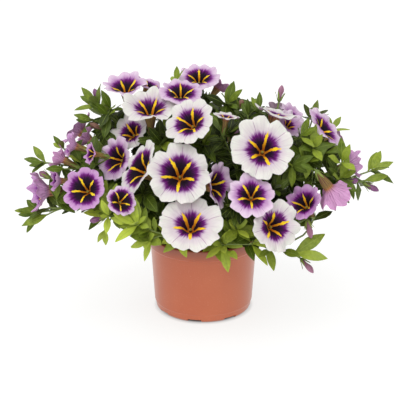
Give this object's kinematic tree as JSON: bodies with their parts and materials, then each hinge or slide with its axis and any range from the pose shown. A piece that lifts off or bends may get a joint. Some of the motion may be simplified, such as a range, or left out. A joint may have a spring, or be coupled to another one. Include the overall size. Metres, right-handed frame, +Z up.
{
  "type": "potted calibrachoa",
  "caption": "Mounding trailing plant with leafy sprays and open trumpet blooms, cream and lilac with a dark throat and yellow star, growing in a small tapered pot.",
  "frame": {"origin": "on the ground under the middle of the pot, which is also the middle of the plant's footprint", "axes": "+X to the right as the picture shows the plant, along its longest extent; -Y towards the viewer of the picture; +Z up"},
  "size_m": [0.3324, 0.2398, 0.2242],
  "materials": {
    "terracotta_plastic": "satin",
    "peat": "matte",
    "leaf": "matte",
    "cream": "matte",
    "lilac": "matte",
    "violet": "matte",
    "dusty": "matte"
  },
  "bodies": {
    "root": {"pot": "terracotta_plastic", "peat": "peat", "bloom_top_left": "lilac", "bloom_top_left_rear": "lilac", "bloom_crown_left": "cream", "bloom_crown": "lilac", "bloom_crown_top": "lilac", "bloom_crown_rear": "dusty", "bloom_brow": "cream", "bloom_heart_right": "cream", "bloom_heart_left": "cream", "bloom_rim_front": "cream", "bloom_cheek": "cream", "bloom_cheek_left": "lilac", "bloom_cheek_top": "cream", "bloom_left": "violet", "bloom_far_left": "violet", "bloom_left_shoulder": "dusty", "bloom_left_lilac": "violet", "bloom_left_small": "violet", "bloom_left_half": "dusty", "bloom_left_behind": "violet", "bloom_left_low": "lilac", "bloom_middle": "lilac", "bloom_right_low": "lilac", "bloom_right_rim": "cream", "bloom_right": "violet", "bloom_right_nodding": "dusty", "bloom_far_right": "violet", "bloom_right_shoulder": "lilac", "bloom_brow_right": "cream", "bloom_temple": "lilac", "bloom_temple_rear": "lilac", "bloom_brow_small": "cream", "bloom_back_right": "lilac", "bloom_back_upper_right": "cream", "bloom_back": "cream", "bloom_back_upper_left": "lilac", "bloom_back_left": "cream", "bloom_back_far_left": "violet", "spray_far_left": "leaf", "spray_left": "leaf", "spray_left_front": "leaf", "spray_cheek": "leaf", "spray_top_left": "leaf", "spray_crown": "leaf", "spray_crown_top": "leaf", "spray_front": "leaf", "spray_front_upper": "leaf", "spray_front_right": "leaf", "spray_middle": "leaf", "spray_heart": "leaf", "spray_right_rim": "leaf", "spray_brow_right": "leaf", "spray_right_shoulder": "leaf", "spray_far_right": "leaf", "spray_back_right": "leaf", "spray_back": "leaf", "spray_back_left": "leaf", "spray_back_far_left": "leaf"}
  },
  "joints": []
}
